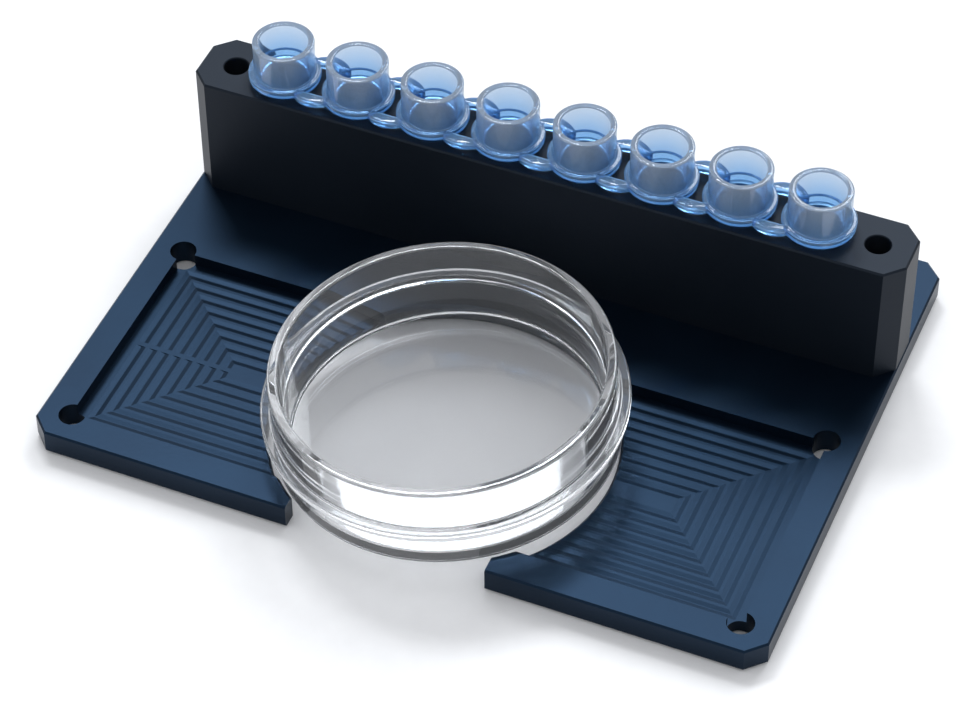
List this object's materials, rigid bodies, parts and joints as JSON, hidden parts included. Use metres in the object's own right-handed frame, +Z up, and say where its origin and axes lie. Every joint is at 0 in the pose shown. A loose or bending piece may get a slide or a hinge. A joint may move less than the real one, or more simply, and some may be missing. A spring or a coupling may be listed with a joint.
{
  "type": "laboratory sample holder",
  "caption": "Flat dark metal holder with a slide pocket, an open clear dish leaning in a round opening, and a raised back block carrying a strip of small clear tubes.",
  "frame": {"origin": "middle of the footprint, dish included, on the surface that the holder stands on", "axes": "+X to the right along the row of tubes, +Y to the back where the raised block is, +Z up"},
  "size_m": [0.084, 0.0642, 0.0243],
  "materials": {
    "anodised_plate": "satin blue-black anodised, milled",
    "anodised_block": "satin black anodised",
    "screw_steel": "plain stainless",
    "tube_plastic": "translucent polypropylene",
    "dish_plastic": "clear polystyrene"
  },
  "bodies": {
    "holder": {"base_plate": "anodised_plate", "tube_block": "anodised_block", "block_screws": "screw_steel"},
    "strip": {"strip_rail": "tube_plastic", "tube_1": "tube_plastic", "tube_2": "tube_plastic", "tube_3": "tube_plastic", "tube_4": "tube_plastic", "tube_5": "tube_plastic", "tube_6": "tube_plastic", "tube_7": "tube_plastic", "tube_8": "tube_plastic"},
    "dish": {"culture_dish": "dish_plastic"}
  },
  "joints": [
    {"name": "strip_lift", "type": "slide", "parent": "holder", "child": "strip", "axis": [0, 0, 1], "range_m": [0, 0.025]},
    {"name": "dish_lift", "type": "slide", "parent": "holder", "child": "dish", "axis": [0, 0, 1], "range_m": [0, 0.025]}
  ]
}
